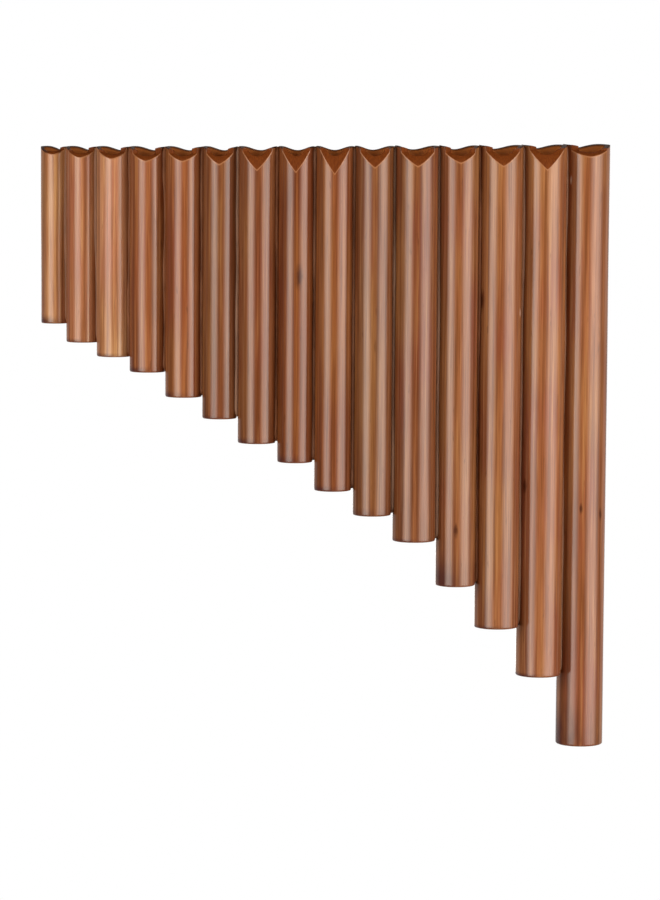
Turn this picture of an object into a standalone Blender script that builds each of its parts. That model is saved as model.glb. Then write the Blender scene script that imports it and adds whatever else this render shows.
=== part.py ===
"""Pan flute: fifteen stopped bamboo pipes, glued side by side on an arc.

The flute stands upright. Its pipes hang from the mouth line, short ones at -X and long ones at +X.
The outer, convex side of the arc faces -Y and the player blows from +Y. Units are metres, +Z is up.
The origin is on the ground plane of the longest pipe's foot, under the middle of the whole row.

Each pipe is an open tube. Its rim dips between the joints, so the mouths form a wave, and a bevel
scooped from its outer wall leads up to the blowing edge. A cork slides in the lower part of the bore
and closes it, and its place sets the note. A seam of glue fills the groove between each two neighbours.
"""

import math

import bmesh
import bpy
from mathutils import Matrix, Vector

MM = 0.001

# Length, outer diameter and bevel height of each pipe in millimetres, from the shortest pipe on.
PIPE_SIZES_MM = (
    (69.7, 11.6, 3.2),
    (76.8, 13.3, 4.4),
    (82.1, 13.8, 4.8),
    (87.8, 14.4, 5.6),
    (97.3, 14.6, 5.6),
    (105.5, 13.7, 6.8),
    (114.9, 15.0, 9.0),
    (122.3, 14.1, 9.8),
    (133.4, 14.7, 10.6),
    (143.2, 15.2, 8.2),
    (153.6, 17.0, 7.8),
    (171.6, 15.8, 6.6),
    (188.9, 17.6, 8.0),
    (209.0, 18.1, 9.6),
    (237.9, 18.8, 4.7),
)

# The row: pipe axes stand on an arc whose convex side faces -Y.
ARC_RADIUS = 215 * MM
ARC_START = math.radians(-30.3)
GLUE_GAP = 0.4 * MM
MOUTH_RISE = 0.010  # how much the mouth line climbs per metre towards the long pipes, in metres

# The tubes.
WALL_SHARE = 0.12  # of the outer diameter
FOOT_CHAMFER = 0.3 * MM
ROUND_SEGMENTS = 24

# The mouth of each pipe: the rim dips between the joints, and a bevel thins the outer wall.
RIM_DIP = 1.8 * MM
RIM_TILT = math.radians(2.0)  # how far the rim leans down towards the outer side
RIM_STEPS = 12
TRIM_HEIGHT = 1.0 * MM
BLOWING_EDGE = 0.35 * MM
EDGE_DROP = 3.9 * MM  # the blowing edge's most depth below the mouth line
EDGE_DROP_SHARE = 0.65  # and its depth on a low bevel, as a share of the bevel's height
BEVEL_EASE = 11 * MM  # a bevel this high leaves the outer wall as gently as a parabola does
BEVEL_TURN = 0.25  # how far a bevel turns towards its pipe's own outward direction
BEVEL_STEPS = 9
BEVEL_REACH = 0.36  # the bevel's deepest cut, in outer radii

# The notes: white keys from G4, the lowest, to G6, as semitones above the lowest.
LOWEST_NOTE_HZ = 392.0
SEMITONES = (0, 2, 4, 5, 7, 9, 10, 12, 14, 16, 17, 19, 21, 22, 24)
SPEED_OF_SOUND = 343.0
END_CORRECTION = 0.5  # what the open end adds to the sounding length, in bore diameters

# The corks and the glue.
STOPPER_HEIGHT = 9.0 * MM
STOPPER_CLEARANCE = 0.1 * MM
GLUE_CLEARANCE = 0.12 * MM
GLUE_HALF_DEPTH = 2.3 * MM
GLUE_ARC_POINTS = 5
GLUE_TOP_INSET = 0.12 * MM  # the glue ends this far below the mouth line
GLUE_FOOT_INSET = 0.8 * MM  # and this far above the shorter pipe's foot

# Base colour, roughness and metallic value of each material.
MATERIALS = {
    "varnished_bamboo": ((0.36, 0.155, 0.075), 0.32, 0.0),
    "cork": ((0.52, 0.33, 0.18), 0.85, 0.0),
    "wood_glue": ((0.20, 0.085, 0.040), 0.45, 0.0),
}


class Pipe:
    """The sizes and the place of one pipe."""

    def __init__(self, length, diameter, bevel):
        self.length = length * MM
        self.radius = diameter / 2 * MM
        self.bore = self.radius - WALL_SHARE * diameter * MM
        self.bevel = bevel * MM
        self.angle = 0.0
        self.centre = Vector((0, 0))
        self.mouth = 0.0

    @property
    def foot(self):
        return self.mouth - self.length


def laid_out():
    """The pipes on their arc, with the row's middle over the origin and the longest foot on the ground."""
    pipes = [Pipe(*sizes) for sizes in PIPE_SIZES_MM]
    angle = ARC_START
    for before, pipe in zip([None] + pipes, pipes):
        if before:
            spacing = before.radius + GLUE_GAP + pipe.radius
            angle += 2 * math.asin(spacing / 2 / ARC_RADIUS)
        pipe.angle = angle
        pipe.centre = ARC_RADIUS * Vector((math.sin(angle), 1 - math.cos(angle)))
    middle = Vector(
        (
            min(p.centre[i] - p.radius for p in pipes) + max(p.centre[i] + p.radius for p in pipes)
            for i in (0, 1)
        )
    ) / 2
    longest = pipes[-1]
    for pipe in pipes:
        pipe.mouth = longest.length + MOUTH_RISE * (pipe.centre.x - longest.centre.x)
        pipe.centre = pipe.centre - middle
    return pipes


def clear_scene():
    for thing in list(bpy.data.objects):
        bpy.data.objects.remove(thing)


def new_collection(name):
    collection = bpy.data.collections.new(name)
    bpy.context.scene.collection.children.link(collection)
    return collection


def new_material(name):
    colour, roughness, metallic = MATERIALS[name]
    material = bpy.data.materials.new(name)
    material.use_nodes = True
    shader = material.node_tree.nodes["Principled BSDF"]
    shader.inputs["Base Color"].default_value = (*colour, 1)
    shader.inputs["Roughness"].default_value = roughness
    shader.inputs["Metallic"].default_value = metallic
    return material


def mesh_object(name, shape, collection, material=None):
    """An object made from a bmesh, which is freed."""
    mesh = bpy.data.meshes.new(name)
    shape.to_mesh(mesh)
    shape.free()
    thing = bpy.data.objects.new(name, mesh)
    collection.objects.link(thing)
    if material:
        mesh.materials.append(material)
    return thing


def cylinder(name, radius, length, segments, collection, material=None):
    """A closed cylinder along Z, with its middle at its object's origin."""
    shape = bmesh.new()
    bmesh.ops.create_cone(
        shape, cap_ends=True, segments=segments, radius1=radius, radius2=radius, depth=length
    )
    return mesh_object(name, shape, collection, material)


def turned(name, profile, collection, material):
    """A closed loop of (radius, height) points turned about Z. The loop goes down its outer side."""
    shape = bmesh.new()
    points = [shape.verts.new((radius, 0, height)) for radius, height in profile]
    for a, b in zip(points, points[1:] + points[:1]):
        shape.edges.new((a, b))
    thing = mesh_object(name, shape, collection, material)
    screw = thing.modifiers.new("turn", "SCREW")
    screw.axis = "Z"
    screw.steps = screw.render_steps = ROUND_SEGMENTS
    screw.use_smooth_shade = False
    return thing


def cut(thing, cutter):
    cutter.hide_render = True
    cutter.display_type = "WIRE"
    boolean = thing.modifiers.new(cutter.name, "BOOLEAN")
    boolean.operation = "DIFFERENCE"
    boolean.object = cutter


def slab(name, outline, width, collection):
    """A closed block: an outline of (Y, Z) points pushed out along X, with its middle at X = 0."""
    shape = bmesh.new()
    side = shape.faces.new([shape.verts.new((-width / 2, y, z)) for y, z in outline])
    pushed = bmesh.ops.extrude_face_region(shape, geom=[side])["geom"]
    far_side = [corner for corner in pushed if isinstance(corner, bmesh.types.BMVert)]
    bmesh.ops.translate(shape, vec=(width, 0, 0), verts=far_side)
    bmesh.ops.recalc_face_normals(shape, faces=shape.faces)
    return mesh_object(name, shape, collection)


def place(pipe, height, turn=0.0):
    """On the pipe's axis. A whole turn of 1 takes -Y to the pipe's own outward direction."""
    return Matrix.Translation((*pipe.centre, height)) @ Matrix.Rotation(turn * pipe.angle, 4, "Z")


def rim_line(pipe):
    """The rim's wave as (Y, Z) points: level at both joints and dipped in between."""
    for step in range(RIM_STEPS + 1):
        share = 2 * step / RIM_STEPS - 1
        yield share * pipe.radius, -RIM_DIP * (1 + math.cos(math.pi * share)) / 2


def rim_cutter(name, pipe, collection):
    """A block across the mouth whose underside carries the rim's wave."""
    reach, top = 2 * pipe.radius, 4 * TRIM_HEIGHT
    outline = [(-reach, top), (-reach, 0), *rim_line(pipe), (reach, 0), (reach, top)]
    cutter = slab(name, outline, 2 * reach, collection)
    across = Matrix.Rotation(math.radians(90), 4, "Z")
    leaning = Matrix.Rotation(RIM_TILT, 4, "X")
    cutter.matrix_world = place(pipe, pipe.mouth, turn=1) @ leaning @ across
    return cutter


def bevel_line(pipe):
    """The bevel's (Y, Z) profile, from its foot on the outer wall to past the top."""
    edge_depth = pipe.radius - pipe.bore - BLOWING_EDGE
    climb = pipe.bevel - min(EDGE_DROP, EDGE_DROP_SHARE * pipe.bevel)
    power = 1 + pipe.bevel / BEVEL_EASE
    top = pipe.bevel + 2 * TRIM_HEIGHT
    for step in range(BEVEL_STEPS + 1):
        height = top * step / BEVEL_STEPS
        depth = edge_depth * (height / climb) ** power
        yield min(depth, BEVEL_REACH * pipe.radius) - pipe.radius, height - pipe.bevel


def bevel_cutter(name, pipe, collection):
    """A block in front of the mouth whose back follows the bevel."""
    line = list(bevel_line(pipe))
    front = -2 * pipe.radius
    outline = [(front, line[0][1]), *line, (front, line[-1][1])]
    cutter = slab(name, outline, 4 * pipe.radius, collection)
    cutter.matrix_world = place(pipe, pipe.mouth, turn=BEVEL_TURN)
    return cutter


def make_pipe(number, pipe, material, parts, cutters):
    top = pipe.length + TRIM_HEIGHT
    profile = (
        (pipe.radius, top),
        (pipe.radius, FOOT_CHAMFER),
        (pipe.radius - FOOT_CHAMFER, 0),
        (pipe.bore, 0),
        (pipe.bore, top),
    )
    tube = turned(f"pipe_{number:02d}", profile, parts, material)
    tube.matrix_world = place(pipe, pipe.foot)
    cut(tube, rim_cutter(f"rim_cutter_{number:02d}", pipe, cutters))
    cut(tube, bevel_cutter(f"bevel_cutter_{number:02d}", pipe, cutters))


def air_column(number, pipe):
    """How far the closed end lies below the mouth line, for the pipe's note."""
    semitone = SEMITONES[len(SEMITONES) - number]
    frequency = LOWEST_NOTE_HZ * 2 ** (semitone / 12)
    return SPEED_OF_SOUND / (4 * frequency) - END_CORRECTION * 2 * pipe.bore


def make_stopper(number, pipe, material, parts):
    radius = pipe.bore - STOPPER_CLEARANCE
    cork = cylinder(f"stopper_{number:02d}", radius, STOPPER_HEIGHT, ROUND_SEGMENTS, parts, material)
    middle = pipe.mouth - air_column(number, pipe) - STOPPER_HEIGHT / 2
    cork.matrix_world = place(pipe, middle) @ Matrix.Rotation(math.radians(90), 4, "Z")


def groove_arc(radius, centre_x, direction):
    """Points on a circle round a pipe's axis, across the groove beside it, from one face to the other."""
    reach = math.asin(GLUE_HALF_DEPTH / radius)
    steps = [2 * i / (GLUE_ARC_POINTS - 1) - 1 for i in range(GLUE_ARC_POINTS)]
    return [
        (centre_x + direction * radius * math.cos(reach * t), radius * math.sin(reach * t))
        for t in steps
    ]


def make_glue_seam(number, left, right, material, parts):
    """A strip that is narrow between the two walls and widens into a fillet in front and behind."""
    towards = right.centre - left.centre
    near = groove_arc(left.radius + GLUE_CLEARANCE, 0, 1)
    far = groove_arc(right.radius + GLUE_CLEARANCE, towards.length, -1)
    outline = near + far[::-1]
    top = min(left.mouth, right.mouth) - GLUE_TOP_INSET
    foot = max(left.foot, right.foot) + GLUE_FOOT_INSET
    name = f"glue_seam_{number:02d}"
    curve = bpy.data.curves.new(name, "CURVE")
    curve.dimensions = "2D"
    curve.fill_mode = "BOTH"
    curve.extrude = (top - foot) / 2
    spline = curve.splines.new("POLY")
    spline.points.add(len(outline) - 1)
    spline.use_cyclic_u = True
    for point, (x, y) in zip(spline.points, outline):
        point.co = (x, y, 0, 1)
    curve.materials.append(material)
    seam = bpy.data.objects.new(name, curve)
    parts.objects.link(seam)
    turn = Matrix.Rotation(math.atan2(towards.y, towards.x), 4, "Z")
    seam.matrix_world = place(left, (top + foot) / 2) @ turn


def main():
    clear_scene()
    parts = new_collection("pan_flute")
    cutters = new_collection("cutters")
    bamboo, cork, glue = (new_material(name) for name in MATERIALS)
    pipes = laid_out()
    for number, pipe in enumerate(pipes, 1):
        make_pipe(number, pipe, bamboo, parts, cutters)
        make_stopper(number, pipe, cork, parts)
    for number, (left, right) in enumerate(zip(pipes, pipes[1:]), 1):
        make_glue_seam(number, left, right, glue, parts)


main()
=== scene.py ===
"""The looks of the pan flute: varnished bamboo pipes, corks and glued grooves, in a plain studio.

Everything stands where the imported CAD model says. Each CAD tube, cork and seam is replaced by a finer
mesh of the same size, whose bevels and rims follow the same formulas as the CAD's.
Units are metres, +Z is up, the convex front faces -Y and the short pipes are at -X.
"""

import math
import random

import bpy
import numpy as np
from mathutils import Matrix, Vector


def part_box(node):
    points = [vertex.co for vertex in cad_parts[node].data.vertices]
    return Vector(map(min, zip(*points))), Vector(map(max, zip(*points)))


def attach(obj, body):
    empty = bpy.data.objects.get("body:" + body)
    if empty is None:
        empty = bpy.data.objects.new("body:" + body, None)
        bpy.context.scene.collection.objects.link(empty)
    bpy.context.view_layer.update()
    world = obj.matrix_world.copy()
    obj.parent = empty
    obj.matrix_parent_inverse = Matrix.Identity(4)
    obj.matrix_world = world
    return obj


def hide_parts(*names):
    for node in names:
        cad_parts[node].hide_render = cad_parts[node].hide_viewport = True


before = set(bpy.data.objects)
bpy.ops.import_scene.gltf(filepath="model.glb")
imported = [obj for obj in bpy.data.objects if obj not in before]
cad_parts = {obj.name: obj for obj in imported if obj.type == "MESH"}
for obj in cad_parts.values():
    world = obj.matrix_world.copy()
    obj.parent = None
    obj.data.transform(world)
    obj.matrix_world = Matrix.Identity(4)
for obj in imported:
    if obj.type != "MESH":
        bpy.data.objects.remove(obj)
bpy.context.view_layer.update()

MM = 0.001
TAU = 2 * math.pi

# The row, as in the CAD.
PIPE_COUNT = 15
BEVEL_HEIGHTS_MM = (3.2, 4.4, 4.8, 5.6, 5.6, 6.8, 9.0, 9.8, 10.6, 8.2, 7.8, 6.6, 8.0, 9.6, 4.7)
ARC_RADIUS = 215 * MM
ARC_START = math.radians(-30.3)
GLUE_GAP = 0.4 * MM
MOUTH_RISE = 0.010
LONGEST = 237.9 * MM
STOPPER_CLEARANCE = 0.1 * MM

# The mouths, as in the CAD.
RIM_DIP = 1.8 * MM
RIM_TILT = math.radians(2.0)
BLOWING_EDGE = 0.35 * MM
EDGE_DROP = 3.9 * MM
EDGE_DROP_SHARE = 0.65
BEVEL_EASE = 11 * MM
BEVEL_TURN = 0.25
BEVEL_REACH = 0.36
LEAST_FORWARD = 0.05  # the bevel's plane cuts only walls that face it at least this much

# The fine pipe meshes. Roundings are half the length that is averaged at a corner.
ROUND_SEGMENTS = 168
BEVEL_POINTS = 18
WALL_STEP = 4 * MM
LIP = 0.25 * MM  # what is left of the wall at the blowing edge, before it is rounded
LEAST_BEVEL = 0.12 * MM
FOOT_ROUNDING = 0.7 * MM
FOOT_INNER_ROUNDING = 0.3 * MM
RIDGE_ROUNDING = 0.5 * MM
MOUTH_ROUNDING = 0.12 * MM
RIM_SHADE_DEPTH = 0.8 * MM  # how far the painted shade of the rim runs down inside the bore
SKIN_SEED = 40

# The parts of a wall's outline, in their order: up the outside, over the rim and down the bore.
FOOT, WALL, BEVEL, RIM, BORE = range(5)

# The fine corks.
CORK_SEGMENTS = 64
CORK_EDGE = 0.6 * MM

# The fine glue seams.
GLUE_HALF_DEPTH = 2.3 * MM
GLUE_TOP_INSET = 0.03 * MM
GLUE_FOOT_INSET = 0.8 * MM
GLUE_OVERLAP = 0.05 * MM  # how far the glue reaches into the skin of the pipes
GLUE_STEP = 1.2 * MM
GLUE_TAPER = 2.5 * MM  # how far from its ends a seam starts to thin out

# The camera, fitted to the row.
CAMERA_PLACE = (2.7 * MM, -1413.9 * MM, 256.9 * MM)
CAMERA_PITCH = math.radians(-5.62)
CAMERA_ROLL = math.radians(0.368)
CAMERA_LENS = 144.7

# The bamboo: for each pipe how light it is, how yellow, and how many mm the dark of its foot climbs.
TONES = (
    (1.80, 1.38, 4),
    (1.80, 1.34, 2),
    (2.10, 1.48, 2),
    (1.27, 1.10, 3),
    (1.17, 1.03, 3),
    (0.91, 1.12, 2),
    (0.98, 1.08, 3),
    (0.86, 0.92, 4),
    (0.98, 1.00, 3),
    (0.93, 1.16, 4),
    (0.99, 1.12, 2),
    (1.14, 1.18, 16),
    (1.18, 1.14, 2),
    (1.36, 1.18, 2),
    (1.28, 1.16, 24),
)
# The knots of some pipes, each as (degrees from the front, mm above the foot, width in mm).
KNOTS = {
    8: ((12, 72.2, 1.3),),
    12: ((-2, 22.2, 0.8),),
    13: ((-55, 128.6, 1.3),),
    14: ((-46, 75.5, 0.9),),
    15: ((-6, 95.0, 0.6), (48, 92.5, 0.8)),
}

# Drops of pale glue on the flanks of two pipes, placed like the knots.
DROPS = {
    13: ((66, 124.0, 0.5),),
    15: ((-43, 224.0, 0.45),),
}

# How pale the glue is, from the seam of the shortest two pipes to that of the longest two.
GLUE_PALENESS = (0.25, 0.3, 0.05, 0.05, 0.05, 0.5, 0.0, 0.15, 0.15, 0.55, 0.45, 0.0, 0.3, 0.3)

SOFTBOX_DISTANCE = 1.1

FLUTE = "flute"


class Pipe:
    """One pipe's place and sizes, read from its CAD tube and cork.

    Angles round a pipe and along the row go from -Y towards +X. Its angle is where it stands on the arc,
    its bevel is a height, and its mouth is the height of the mouth line.
    """

    def __init__(self, number):
        low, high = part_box(f"pipe_{number:02d}")
        cork_low, cork_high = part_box(f"stopper_{number:02d}")
        self.number = number
        self.centre = Vector(((low.x + high.x) / 2, (low.y + high.y) / 2))
        self.radius = (high.x - low.x) / 2
        self.bore = (cork_high.x - cork_low.x) / 2 + STOPPER_CLEARANCE
        self.foot = low.z
        self.bevel = BEVEL_HEIGHTS_MM[number - 1] * MM
        self.edge_depth = self.radius - self.bore - BLOWING_EDGE
        self.edge_climb = self.bevel - min(EDGE_DROP, EDGE_DROP_SHARE * self.bevel)
        self.bevel_power = 1 + self.bevel / BEVEL_EASE
        self.angle = 0.0
        self.mouth = 0.0
        self.neighbours = []
        self.skin = Skin(number)

    @property
    def origin(self):
        return Vector((*self.centre, self.foot))

    @property
    def length(self):
        return self.mouth - self.foot

    def bevel_depth(self, height):
        """How deep the bevel cuts at a height above its own foot, from the front of the wall."""
        depth = self.edge_depth * (np.maximum(height, 0) / self.edge_climb) ** self.bevel_power
        return np.minimum(depth, BEVEL_REACH * self.radius)

    def bevel_height(self, depth):
        """The height above the bevel's foot where it has cut that deep, or infinite if it never does."""
        if depth > BEVEL_REACH * self.radius:
            return math.inf
        return self.edge_climb * (max(depth, 0) / self.edge_depth) ** (1 / self.bevel_power)

    def outer(self, angle, height):
        """The outer radius at a height above the foot, bevel included, for a true cylinder."""
        forward = np.cos(angle - BEVEL_TURN * self.angle)
        cut = self.bevel_depth(height - (self.length - self.bevel))
        bevelled = (self.radius - cut) / np.maximum(forward, 1e-6)
        return np.where(forward > LEAST_FORWARD, np.minimum(self.radius, bevelled), self.radius)

    def rim(self, angle, radius):
        """The height of the rim above the foot. It dips between the joints and leans outwards."""
        turned = angle - self.angle
        across, outward = radius * np.sin(turned), radius * np.cos(turned)
        dip = RIM_DIP * (1 + np.cos(math.pi * across / self.radius)) / 2
        return self.length - dip - math.tan(RIM_TILT) * outward


class Skin:
    """How far the grown and sanded skin lies inside the true cylinder, by angle and height."""

    # Lobes round the pipe, depth in millimetres, and how fast the wave turns, in turns per metre.
    WAVES = (
        (0, 0.05, 0.0),
        (1, 0.05, 2.0),
        (2, 0.06, 3.0),
        (3, 0.045, 5.0),
        (5, 0.016, 6.0),
        (8, 0.006, 6.0),
    )
    SWAY_RUN = 14 * MM

    def __init__(self, number):
        draw = random.Random(SKIN_SEED + number)
        self.waves = []
        for lobes, depth, turning in self.WAVES:
            depth *= MM * draw.uniform(0.5, 1.3)
            start = draw.uniform(0, TAU)
            turning *= TAU * draw.uniform(-1, 1)
            sway = draw.uniform(0.3, 0.9)
            run = self.SWAY_RUN * draw.uniform(0.5, 1.6)
            phase = draw.uniform(0, TAU)
            self.waves.append((lobes, depth, start, turning, sway, run, phase))

    def depth(self, angle, height):
        """How far in the skin lies, at a height above the foot."""
        total = 0.0
        for lobes, depth, start, turning, sway, run, phase in self.waves:
            swayed = start + turning * height + sway * np.sin(height / run + phase)
            total = total + depth * (1 + np.cos(lobes * angle + swayed)) / 2
        return total


def laid_out():
    """The pipes in their row, each with its angle on the arc, its mouth and its neighbours."""
    pipes = [Pipe(number) for number in range(1, PIPE_COUNT + 1)]
    angle = ARC_START
    for before, pipe in zip([None] + pipes, pipes):
        if before:
            spacing = before.radius + GLUE_GAP + pipe.radius
            angle += 2 * math.asin(spacing / 2 / ARC_RADIUS)
            pipe.neighbours.append(before)
            before.neighbours.append(pipe)
        pipe.angle = angle
        pipe.mouth = LONGEST + MOUTH_RISE * (pipe.centre.x - pipes[-1].centre.x)
    return pipes


def direction_angle(vector):
    """The angle of a horizontal direction, from -Y towards +X."""
    return math.atan2(vector.x, -vector.y)


# ---------------------------------------------------------------- meshes


def mesh_object(name, points, faces, material, attributes=None):
    """A smooth-shaded object, whose attributes give its material a number at each point."""
    mesh = bpy.data.meshes.new(name)
    mesh.from_pydata(points.tolist(), [], faces)
    mesh.update()
    mesh.shade_smooth()
    for label, values in (attributes or {}).items():
        attribute = mesh.attributes.new(label, "FLOAT", "POINT")
        attribute.data.foreach_set("value", np.asarray(values, np.float32).ravel())
    mesh.materials.append(material)
    thing = bpy.data.objects.new(name, mesh)
    bpy.context.scene.collection.objects.link(thing)
    return thing


def grid_faces(rows, columns, closed):
    """Quads between the rows of a grid whose columns go round. A closed grid's rows go round too."""
    faces = []
    for row in range(rows if closed else rows - 1):
        here, above = row * columns, (row + 1) % rows * columns
        for column in range(columns):
            beside = (column + 1) % columns
            faces.append((here + column, here + beside, above + beside, above + column))
    return faces


def capped_faces(rows, columns):
    """Quads between the rows of an open grid whose columns go round, and a face over each end."""
    faces = grid_faces(rows, columns, closed=False)
    faces.append(tuple(range(columns))[::-1])
    faces.append(tuple(range((rows - 1) * columns, rows * columns)))
    return faces


class Outline:
    """A closed outline with sharp corners, which is read rounded: as its average over a short length."""

    def __init__(self, points):
        self.count = len(points)
        self.points = np.vstack([points, points, points, points[:1]])
        steps = np.diff(self.points, axis=0)
        self.steps = np.maximum(np.linalg.norm(steps, axis=1), 1e-9)
        self.along = np.concatenate([[0], np.cumsum(self.steps)])
        middles = (self.points[1:] + self.points[:-1]) / 2
        self.summed = np.vstack([[0, 0], np.cumsum(middles * self.steps[:, None], axis=0)])

    def place_of(self, index):
        """How far along the corner lies, on the middle one of three laps."""
        return self.along[self.count + index]

    def sum_to(self, place):
        """The outline's points, summed along it up to a place."""
        index = np.clip(np.searchsorted(self.along, place, side="right") - 1, 0, len(self.steps) - 1)
        over = (place - self.along[index])[:, None]
        start, end = self.points[index], self.points[index + 1]
        slope = (end - start) / self.steps[index][:, None]
        return self.summed[index] + start * over + slope * over**2 / 2

    def rounded(self, place, reach):
        """The outline's average over its reach on both sides of a place."""
        return (self.sum_to(place + reach) - self.sum_to(place - reach)) / (2 * reach)[:, None]


def stretch(start, end, near_start, near_end, inner):
    """Places to read a stretch between two corners at: close together near both, even in between."""
    length = end - start
    head, tail = min(near_start, 0.4 * length), min(near_end, 0.4 * length)
    return np.concatenate(
        [
            start + head * np.array([0.0, 0.35, 0.7]),
            np.linspace(start + head, end - tail, inner),
            end - tail * np.array([0.7, 0.35]),
        ]
    )


def wall_top(pipe, angle):
    """The height at which the outer wall ends at one angle: at the rim, or at the blowing edge."""
    lip = pipe.bore + LIP
    low, high = pipe.length - pipe.bevel, pipe.length + MM
    for _ in range(40):
        middle = (low + high) / 2
        radius = float(pipe.outer(angle, middle))
        if radius > lip and middle < pipe.rim(angle, radius):
            low = middle
        else:
            high = middle
    return low


def ridge_height(pipe, angle, top):
    """The height at which the bevel starts at one angle, always a little below the wall's top."""
    ridge = top - LEAST_BEVEL
    forward = math.cos(angle - BEVEL_TURN * pipe.angle)
    if forward > LEAST_FORWARD:
        reached = pipe.length - pipe.bevel + pipe.bevel_height(pipe.radius * (1 - forward))
        ridge = min(ridge, reached)
    return ridge


def wall_shades(part, count, bevelled):
    """Marks for the material at the points of one part of the outline: cut wood, the painted highlight
    along the ridge and the foot's edge, the rim, darkened partly by painted shade, and the bore.
    """
    shade = np.zeros((count, 4))
    cut, ridge, rim, bore = shade.T
    cut[:] = part != WALL
    if part == WALL:
        cut[0] = 0.5
        # Painted highlight: a light line at the foot's edge and along the bevel's ridge.
        ridge[0] = 0.7
        ridge[-2:] = 0.5 * bevelled, 0.9 * bevelled
        rim[-1] = 1 - bevelled
    elif part == BEVEL:
        cut[0] = 0.5
        ridge[0] = bevelled
        rim[:] = 1 - bevelled
    elif part == RIM:
        rim[:] = 1 - bevelled
    elif part == BORE:
        # Painted shade inside the bore, fading down from the rim.
        rim[:4] = (1 - bevelled) * np.array([1.0, 0.8, 0.35, 0.0])
        bore[:] = 1
    return shade


def pipe_profile(pipe, angle, inner_counts):
    """The wall's rounded outline at one angle: (radius, height) points, and their marks."""
    lip = pipe.bore + LIP
    top = wall_top(pipe, angle)
    ridge = ridge_height(pipe, angle, top)
    top_radius = max(float(pipe.outer(angle, top)), lip)
    ends_sharp = top_radius <= lip * 1.001
    inner_top = min(float(pipe.rim(angle, pipe.bore)), top + (0 if ends_sharp else 1))
    heights = ridge + (top - ridge) * np.arange(1, BEVEL_POINTS) / BEVEL_POINTS
    corners = [
        [(pipe.bore, 0), (pipe.radius, 0), (pipe.radius, ridge)],
        np.column_stack([pipe.outer(angle, heights), heights]),
        [(top_radius, top), (pipe.bore, inner_top)],
    ]
    outline = Outline(np.vstack(corners))
    marks = [0, 1, 2, 2 + BEVEL_POINTS, 3 + BEVEL_POINTS, 4 + BEVEL_POINTS]
    roundings = [
        FOOT_INNER_ROUNDING,
        FOOT_ROUNDING,
        RIDGE_ROUNDING,
        MOUTH_ROUNDING,
        MOUTH_ROUNDING,
        FOOT_INNER_ROUNDING,
    ]
    bevelled = min(max((top - ridge - LEAST_BEVEL) / MM, 0.0), 1.0)
    places, reaches, shades = [], [], []
    for part, inner in enumerate(inner_counts):
        start, end = outline.place_of(marks[part]), outline.place_of(marks[part + 1])
        near = RIM_SHADE_DEPTH if part == BORE else 1.2 * roundings[part]
        read = stretch(start, end, near, 1.2 * roundings[part + 1], inner)
        share = (read - start) / (end - start)
        places.append(read)
        reaches.append(roundings[part] * (1 - share) + roundings[part + 1] * share)
        shades.append(wall_shades(part, len(read), bevelled))
    return outline.rounded(np.concatenate(places), np.concatenate(reaches)), np.vstack(shades)


def smooth_step(value, low, high):
    """How far a value has come from low to high, eased at both ends."""
    share = np.clip((value - low) / (high - low), 0, 1)
    return share * share * (3 - 2 * share)


def flank_shade_amount(pipe, angle):
    """How dark the painted shade on the flanks is at an angle round the wall, from 0 to 1. It is painted
    towards the grooves between pipes and on the free outer sides, strongest on the left flanks of the
    short pipes and on the right flanks of the long ones.
    """
    deepest = np.zeros(np.shape(angle))
    for side, most in ((-1, 1.1 - 0.04 * pipe.number), (1, 0.25 + 0.04 * pipe.number)):
        middle = side * math.pi / 2
        for other in pipe.neighbours:
            towards = direction_angle(other.centre - pipe.centre)
            if towards * side > 0:
                middle = (towards + side * math.pi / 2) / 2
        facing = np.cos(angle - middle)
        turned = smooth_step(facing, 0.50, 0.68) * (1 - 0.8 * smooth_step(facing, 0.78, 0.97))
        deepest = np.maximum(deepest, most * turned)
    return deepest


def make_pipe(pipe, material):
    """A bamboo tube, one rounded outline after another round its axis, pressed in by its skin."""
    wall = max(8, int(pipe.length / WALL_STEP))
    inner_counts = (4, wall, 16, 4, wall // 2)
    angles = np.arange(ROUND_SEGMENTS) * TAU / ROUND_SEGMENTS
    profiles, shades = zip(*(pipe_profile(pipe, angle, inner_counts) for angle in angles))
    radius = np.stack([p[:, 0] for p in profiles], axis=1)
    height = np.stack([p[:, 1] for p in profiles], axis=1)
    cut, ridge, rim, bore = np.stack(shades, axis=1).transpose(2, 0, 1)
    turned = np.broadcast_to(angles, radius.shape)
    out = np.clip((radius - pipe.bore) / (pipe.radius - pipe.bore), 0, 1)
    radius = radius - out * pipe.skin.depth(turned, height)
    points = np.stack([radius * np.sin(turned), -radius * np.cos(turned), height], axis=-1)
    # Painted shade on the outer skin: the flanks darken towards the grooves and the free sides.
    flank_shade = flank_shade_amount(pipe, turned) * (out > 0.9)
    tube = mesh_object(
        f"bamboo_pipe_{pipe.number:02d}",
        points.reshape(-1, 3),
        grid_faces(len(points), ROUND_SEGMENTS, closed=True),
        material,
        {"cut": cut, "ridge": ridge, "rim": rim, "bore": bore, "flank_shade": flank_shade},
    )
    tube.matrix_world = Matrix.Translation(pipe.origin)
    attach(tube, FLUTE)
    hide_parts(f"pipe_{pipe.number:02d}")
    return tube


# ---------------------------------------------------------------- corks


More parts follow.
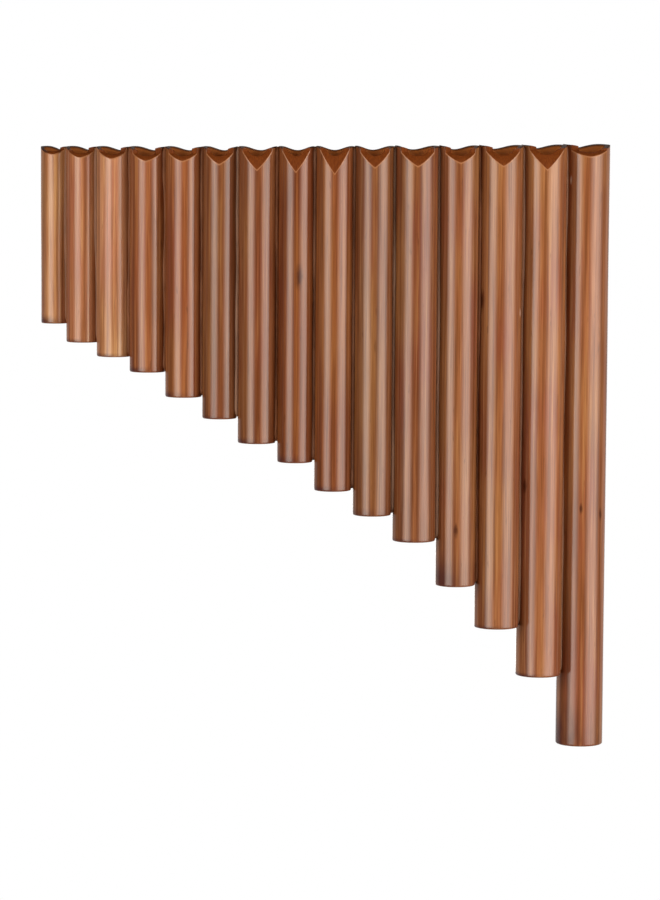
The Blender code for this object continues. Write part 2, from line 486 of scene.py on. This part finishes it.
def make_cork(pipe, material):
    """A cork plug with softened edges and a slightly uneven side."""
    low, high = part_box(f"stopper_{pipe.number:02d}")
    radius, height = (high.x - low.x) / 2, high.z - low.z
    flat = radius - CORK_EDGE
    ends = np.column_stack([np.array([0.05, 0.3, 0.6, 0.85]) * flat, np.zeros(4)])
    turn = np.linspace(0, math.pi / 2, 6)
    arc = np.column_stack([flat + CORK_EDGE * np.sin(turn), CORK_EDGE - CORK_EDGE * np.cos(turn)])
    bottom = np.vstack([ends, arc])
    side = np.column_stack([np.full(8, radius), np.linspace(CORK_EDGE, height - CORK_EDGE, 10)[1:-1]])
    top = bottom[::-1] * (1, -1) + (0, height)
    profile = np.vstack([bottom, side, top])
    angles = np.arange(CORK_SEGMENTS) * TAU / CORK_SEGMENTS
    draw = random.Random(SKIN_SEED + 100 + pipe.number)
    uneven = sum(
        0.02 * MM * np.cos(k * angles[None] + draw.uniform(0, TAU) + 900 * k * profile[:, 1:])
        for k in (2, 5, 9)
    )
    out = profile[:, :1] - (uneven + 0.06 * MM) * (profile[:, :1] / radius) ** 4
    heights = np.broadcast_to(profile[:, 1:], out.shape)
    points = np.stack([out * np.sin(angles), -out * np.cos(angles), heights], axis=-1)
    faces = capped_faces(len(profile), CORK_SEGMENTS)
    cork = mesh_object(f"cork_{pipe.number:02d}", points.reshape(-1, 3), faces, material)
    cork.matrix_world = Matrix.Translation(((low.x + high.x) / 2, (low.y + high.y) / 2, low.z))
    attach(cork, f"stopper_{pipe.number:02d}")
    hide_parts(f"stopper_{pipe.number:02d}")
    return cork


# ---------------------------------------------------------------- glue


def glue_depths(low, high, number):
    """Heights up a seam, and how deep the glue fills the groove there in front and behind."""
    draw = random.Random(SKIN_SEED + 200 + number)
    heights = np.linspace(low, high, int((high - low) / GLUE_STEP))
    waves = [
        (draw.uniform(4, 30) * MM, draw.uniform(0, TAU), draw.uniform(0.03, 0.12)) for _ in range(12)
    ]
    taper = np.clip(np.minimum(heights - low, high - heights) / GLUE_TAPER, 0, 1) ** 0.5
    depths = []
    for chosen in (waves[:6], waves[6:]):
        swing = sum(size * np.sin(heights / run + phase) for run, phase, size in chosen)
        depths.append(GLUE_HALF_DEPTH * np.clip(0.80 + swing, 0.55, 0.98) * (0.45 + 0.55 * taper))
    return heights, *depths


def glued_wall(pipe, origin, facing, turns, height):
    """Points on the wall of a pipe that the glue touches, seen from an origin."""
    angle = facing + turns
    skin = pipe.radius - pipe.skin.depth(angle, height - pipe.foot) - GLUE_OVERLAP
    offset = pipe.centre - origin
    return np.column_stack([offset.x + skin * np.sin(angle), offset.y - skin * np.cos(angle)])


def hollow(start, end):
    """A bowed line from one wall to the other, without its ends."""
    share = np.linspace(0, 1, 8)[1:-1, None]
    across = end - start
    inwards = np.array([-across[1], across[0]])
    return start + across * share + 1.2 * share * (1 - share) * inwards


def make_seam(left, right, material):
    """Glue between two pipes, with a hollow, slightly wavy fillet in front and behind."""
    number = left.number
    heading = direction_angle(right.centre - left.centre)
    low = max(left.foot, right.foot) + GLUE_FOOT_INSET
    high = min(left.mouth, right.mouth) - GLUE_TOP_INSET
    heights, front, back = glue_depths(low, high, number)
    rows = []
    for z, ahead, behind in zip(heights, front, back):
        walls = []
        for pipe, facing, sign in ((left, heading, 1), (right, heading + math.pi, -1)):
            turns = np.linspace(-math.asin(ahead / pipe.radius), math.asin(behind / pipe.radius), 9)
            walls.append(glued_wall(pipe, left.centre, facing, sign * turns, z))
        near, far = walls
        ring = np.vstack([near, hollow(near[-1], far[-1]), far[::-1], hollow(far[0], near[0])])
        rows.append(np.column_stack([ring, np.full(len(ring), z - low)]))
    faces = capped_faces(len(rows), len(rows[0]))
    seam = mesh_object(f"glue_{number:02d}", np.vstack(rows), faces, material)
    seam.matrix_world = Matrix.Translation((*left.centre, low))
    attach(seam, FLUTE)
    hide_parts(f"glue_seam_{number:02d}")
    return seam


# ---------------------------------------------------------------- materials


class Graph:
    """The node tree of a material, a light or the world, with short ways to add nodes."""

    def __init__(self, owner):
        owner.use_nodes = True
        self.owner = owner
        self.tree = owner.node_tree

    def finish(self, kind, inputs):
        """Set the inputs of the one shader that the tree starts with, and give back the tree's owner."""
        self.set(self.tree.nodes[kind], inputs)
        return self.owner

    def set(self, node, inputs):
        """Link or set each named or numbered input of a node."""
        for name, value in inputs.items():
            socket = node.inputs[name]
            if isinstance(value, bpy.types.NodeSocket):
                self.tree.links.new(value, socket)
            else:
                socket.default_value = value

    def add(self, kind, inputs=None, **settings):
        """A new node, with its settings and inputs."""
        node = self.tree.nodes.new("ShaderNode" + kind)
        for name, value in settings.items():
            setattr(node, name, value)
        self.set(node, inputs or {})
        return node

    def math(self, operation, *values):
        return self.add("Math", dict(enumerate(values)), operation=operation).outputs[0]

    def split(self, vector):
        return self.add("SeparateXYZ", {0: vector}).outputs

    def noise(self, vector, scale, detail=2.0, roughness=0.5, distortion=0.0):
        inputs = {"Vector": vector, "Scale": scale, "Detail": detail}
        inputs |= {"Roughness": roughness, "Distortion": distortion}
        return self.add("TexNoise", inputs).outputs["Fac"]

    def attribute(self, name):
        return self.add("Attribute", attribute_name=name).outputs["Fac"]

    def ramp(self, value, *stops):
        """A colour or grey ramp. Each stop is (position, colour or grey)."""
        node = self.add("ValToRGB", {"Fac": value})
        elements = node.color_ramp.elements
        while len(elements) < len(stops):
            elements.new(0.5)
        for element, (position, colour) in zip(elements, stops):
            element.position = position
            grey = isinstance(colour, (int, float))
            element.color = (colour, colour, colour, 1) if grey else (*colour, 1)
        return node.outputs["Color"]

    def remap(self, value, low, high, to_low, to_high):
        """The value, eased from one range to another."""
        inputs = {"Value": value, "From Min": low, "From Max": high, "To Min": to_low, "To Max": to_high}
        return self.add("MapRange", inputs, interpolation_type="SMOOTHSTEP").outputs["Result"]

    def mix(self, share, first, second, blend="MIX"):
        node = self.add("Mix", data_type="RGBA", blend_type=blend)
        self.set(node, {0: share})
        for index, value in ((6, first), (7, second)):
            if isinstance(value, bpy.types.NodeSocket):
                self.tree.links.new(value, node.inputs[index])
            else:
                node.inputs[index].default_value = (*value, 1)
        return node.outputs[2]

    def place(self):
        """How far the point is to the right of the pipe's axis, and how high above its foot."""
        x, _, z = self.split(self.add("TexCoord").outputs["Object"])
        return x, z

    def knot(self, radius, angle, height, width):
        """How much of a spot covers the skin. The spot is three times as tall as it is wide."""
        middle = (radius * math.sin(angle), -radius * math.cos(angle), height / 3)
        squeezed = self.stretched(1 / 3)
        away = self.add("VectorMath", {0: squeezed, 1: middle}, operation="DISTANCE").outputs["Value"]
        ragged = self.math("MULTIPLY_ADD", self.noise(squeezed, 1500), width, away)
        return self.remap(ragged, width * 0.7, width * 2.1, 0.9, 0.0)

    def stretched(self, along, offset=(0, 0, 0)):
        """Object coordinates, moved by an offset and squeezed along the pipe, for streaks."""
        coordinates = self.add("TexCoord").outputs["Object"]
        return self.add(
            "Mapping", {"Vector": coordinates, "Location": offset, "Scale": (1, 1, along)}
        ).outputs["Vector"]


def bamboo(pipe):
    """Stained bamboo under a glossy varnish, with streaks and fibres along the pipe, painted shade on
    its flanks, a painted highlight along its ridges and a rim darkened partly by painted shade.
    """
    g = Graph(bpy.data.materials.new(f"varnished_bamboo_{pipe.number:02d}"))
    draw = random.Random(SKIN_SEED + 300 + pipe.number)
    offsets = [tuple(draw.uniform(-5, 5) for _ in range(3)) for _ in range(5)]
    light, yellow, foot_stain = TONES[pipe.number - 1]
    streaks = g.noise(g.stretched(0.035, offsets[0]), 380, 3, 0.6)
    lines = g.noise(g.stretched(0.014, offsets[1]), 800, 3, 0.65)
    fibres = g.noise(g.stretched(0.02, offsets[2]), 2400, 2, 0.6)
    red_zones = g.noise(g.stretched(0.25, offsets[3]), 70, 2, 0.5)
    pale_zones = g.noise(g.stretched(0.2, offsets[4]), 80, 2, 0.5)
    dashes = g.noise(g.stretched(0.12, offsets[4]), 900, 2, 0.5)
    skin = g.ramp(
        streaks,
        (0.25, (0.15, 0.037, 0.008)),
        (0.5, (0.235, 0.066, 0.019)),
        (0.75, (0.33, 0.112, 0.038)),
    )
    skin = g.mix(g.remap(red_zones, 0.45, 0.7, 0.0, 0.55), skin, (0.20, 0.040, 0.018))
    skin = g.mix(g.remap(pale_zones, 0.45, 0.7, 0.0, 0.5), skin, (0.35, 0.14, 0.038))
    skin = g.mix(g.remap(lines, 0.48, 0.34, 0.0, 0.5), skin, (0.38, 0.15, 0.048))
    skin = g.mix(g.remap(lines, 0.50, 0.66, 0.0, 0.65), skin, (0.12, 0.031, 0.007))
    skin = g.mix(g.remap(fibres, 0.4, 0.72, 0.0, 0.38), skin, (0.11, 0.027, 0.006))
    skin = g.mix(g.remap(dashes, 0.68, 0.76, 0.0, 0.4), skin, (0.06, 0.015, 0.004))
    skin = g.mix(1.0, skin, (light, light * yellow, light * yellow**2), "MULTIPLY")
    # Painted shade: the flanks are multiplied darker towards the grooves and the free sides.
    flank_shade = g.math("MULTIPLY", g.attribute("flank_shade"), 0.5)
    skin = g.mix(flank_shade, skin, g.mix(1.0, skin, (0.42, 0.38, 0.5), "MULTIPLY"))
    x, height = g.place()
    low_down = g.remap(height, 0.2 * MM, foot_stain * MM, 1.0, 0.0)
    leftward = g.remap(x, 0.5 * pipe.radius, -0.9 * pipe.radius, 0.3, 1.0)
    patches = g.remap(g.noise(g.stretched(0.4, offsets[0]), 180, 2), 0.34, 0.56, 0.5, 1.0)
    stain = g.math("MULTIPLY", g.math("MULTIPLY", low_down, patches), leftward)
    skin = g.mix(stain, skin, (0.075, 0.018, 0.015))
    for angle, height, width in KNOTS.get(pipe.number, ()):
        spot = g.knot(pipe.radius, math.radians(angle), height * MM, width * MM)
        skin = g.mix(spot, skin, (0.065, 0.016, 0.005))
    for angle, height, width in DROPS.get(pipe.number, ()):
        spot = g.knot(pipe.radius, math.radians(angle), height * MM, width * MM)
        skin = g.mix(spot, skin, (0.50, 0.36, 0.28))
    wood = g.ramp(fibres, (0.3, (0.11, 0.024, 0.004)), (0.7, (0.19, 0.046, 0.008)))
    wood = g.mix(g.attribute("bore"), wood, (0.45, 0.14, 0.03))
    cut = g.attribute("cut")
    colour = g.mix(cut, skin, wood)
    # Painted highlight: a light orange line along the bevel's ridges and at the foot's edge.
    colour = g.mix(g.math("MULTIPLY", g.attribute("ridge"), 0.8), colour, (0.42, 0.18, 0.075))
    # The rim's top is darker: partly its stain, partly painted shade that runs down inside the bore.
    colour = g.mix(g.math("MULTIPLY", g.attribute("rim"), 0.9), colour, (0.035, 0.011, 0.006))
    bump = g.add("Bump", {"Height": g.math("ADD", fibres, lines), "Strength": 0.11, "Distance": 0.0002})
    return g.finish(
        "Principled BSDF",
        {
            "Base Color": colour,
            "Roughness": 0.55,
            "Normal": bump.outputs["Normal"],
            "Coat Weight": g.remap(cut, 0.0, 1.0, 1.0, 0.15),
            "Coat Roughness": g.math("MULTIPLY_ADD", lines, 0.16, g.remap(cut, 0.0, 1.0, 0.09, 0.4)),
            "Coat IOR": 1.5,
            "Specular IOR Level": 0.0,
        },
    )


def cork_material():
    """Dry, matt cork with darker pores."""
    g = Graph(bpy.data.materials.new("cork"))
    place = g.stretched(1)
    grains = g.add("TexVoronoi", {"Vector": place, "Scale": 900.0}).outputs["Distance"]
    spots = g.noise(place, 500, 4, 0.7)
    colour = g.ramp(
        spots,
        (0.35, (0.20, 0.10, 0.045)),
        (0.5, (0.50, 0.32, 0.17)),
        (0.75, (0.62, 0.42, 0.25)),
    )
    bump = g.add("Bump", {"Height": g.math("ADD", grains, spots), "Strength": 0.4, "Distance": 0.0004})
    inputs = {"Base Color": colour, "Roughness": 0.85, "Normal": bump.outputs["Normal"]}
    return g.finish("Principled BSDF", inputs)


def glue_material(number):
    """Dried glue: brown where the stain covers it, paler on some seams."""
    g = Graph(bpy.data.materials.new(f"wood_glue_{number:02d}"))
    draw = random.Random(SKIN_SEED + 400 + number)
    offset = tuple(draw.uniform(-5, 5) for _ in range(3))
    clouds = g.noise(g.stretched(0.2, offset), 300, 3, 0.6)
    colour = g.ramp(clouds, (0.35, (0.13, 0.039, 0.013)), (0.65, (0.24, 0.088, 0.036)))
    colour = g.mix(GLUE_PALENESS[number - 1], colour, (0.42, 0.27, 0.19))
    bump = g.add("Bump", {"Height": clouds, "Strength": 0.2, "Distance": 0.0003})
    return g.finish(
        "Principled BSDF",
        {
            "Base Color": colour,
            "Roughness": 0.5,
            "Specular IOR Level": 0.15,
            "Normal": bump.outputs["Normal"],
        },
    )


# ---------------------------------------------------------------- studio


def make_camera():
    """A long lens, a little above the mouths and pitched down at the row."""
    data = bpy.data.cameras.new("camera")
    data.lens = CAMERA_LENS
    data.sensor_width = 36
    data.clip_end = 50
    camera = bpy.data.objects.new("camera", data)
    level = Matrix.Rotation(math.radians(90) + CAMERA_PITCH, 4, "X")
    camera.matrix_world = Matrix.Translation(CAMERA_PLACE) @ level @ Matrix.Rotation(CAMERA_ROLL, 4, "Z")
    bpy.context.scene.collection.objects.link(camera)
    bpy.context.scene.camera = camera


def softbox(name, azimuth, spread, height, power):
    """A tall, warm area light at an azimuth from the front, brighter along its middle.

    It covers its spread on both sides of the azimuth, both in degrees. Its middle is at the height.
    """
    data = bpy.data.lights.new(name, "AREA")
    data.shape = "RECTANGLE"
    data.size = 2 * SOFTBOX_DISTANCE * math.tan(math.radians(spread))
    data.size_y = 1.0
    data.energy = power
    data.color = (1.0, 0.93, 0.85)
    g = Graph(data)
    across = g.split(g.add("NewGeometry").outputs["Parametric"])["X"]
    inward = g.math("PINGPONG", across, 0.5)
    g.finish("Emission", {"Strength": g.remap(inward, 0.0, 0.42, 0.1, 1.35)})
    lamp = bpy.data.objects.new(name, data)
    turn = math.radians(azimuth)
    away = Vector((math.sin(turn), -math.cos(turn), 0))
    lamp.location = away * SOFTBOX_DISTANCE + Vector((0, 0, height))
    lamp.rotation_mode = "QUATERNION"
    lamp.rotation_quaternion = away.to_track_quat("Z", "Y")
    lamp.visible_camera = False
    bpy.context.scene.collection.objects.link(lamp)


def make_world():
    """White all round for the camera. The flute mirrors grey behind it, dim grey in front and below."""
    world = bpy.data.worlds.new("studio")
    bpy.context.scene.world = world
    g = Graph(world)
    _, y, z = g.split(g.add("TexCoord").outputs["Generated"])
    ray = g.add("LightPath").outputs
    round_about = g.remap(y, 0.28, 0.5, 0.12, 0.5)
    dimmed = g.math("MULTIPLY_ADD", ray["Is Diffuse Ray"], -0.3, 1.0)
    below = g.math("MULTIPLY", g.remap(z, -0.2, -0.6, 0.0, 0.2), ray["Is Glossy Ray"])
    seen = g.math("MULTIPLY_ADD", round_about, dimmed, below)
    strength = g.remap(ray["Is Camera Ray"], 0.0, 1.0, seen, 1.0)
    g.finish("Background", {"Color": (1, 1, 1, 1), "Strength": strength})


def make_floor():
    """A white floor far below, which neither lights the flute nor shows in its varnish."""
    g = Graph(bpy.data.materials.new("floor"))
    white = g.finish(
        "Principled BSDF",
        {
            "Base Color": (0.9, 0.9, 0.9, 1),
            "Roughness": 0.9,
            "Emission Color": (1, 1, 1, 1),
            "Emission Strength": 1.0,
        },
    )
    mesh = bpy.data.meshes.new("floor")
    corners = [(-6, -6, 0), (6, -6, 0), (6, 6, 0), (-6, 6, 0)]
    mesh.from_pydata(corners, [], [(0, 1, 2, 3)])
    mesh.materials.append(white)
    floor = bpy.data.objects.new("floor", mesh)
    floor.location.z = -1.6
    floor.visible_diffuse = False
    floor.visible_glossy = False
    bpy.context.scene.collection.objects.link(floor)


def main():
    """The camera, the flute, the lights and the room."""
    make_camera()
    pipes = laid_out()
    cork = cork_material()
    for pipe in pipes:
        make_pipe(pipe, bamboo(pipe))
        make_cork(pipe, cork)
    for left, right in zip(pipes, pipes[1:]):
        make_seam(left, right, glue_material(left.number))
    softbox("left_softbox", azimuth=-38.5, spread=28, height=0.25, power=13.5)
    softbox("right_softbox", azimuth=55, spread=36, height=0.25, power=18.5)
    softbox("back_softbox", azimuth=180, spread=22, height=0.35, power=7)
    make_world()
    make_floor()
    bpy.context.scene.view_settings.view_transform = "Standard"


main()
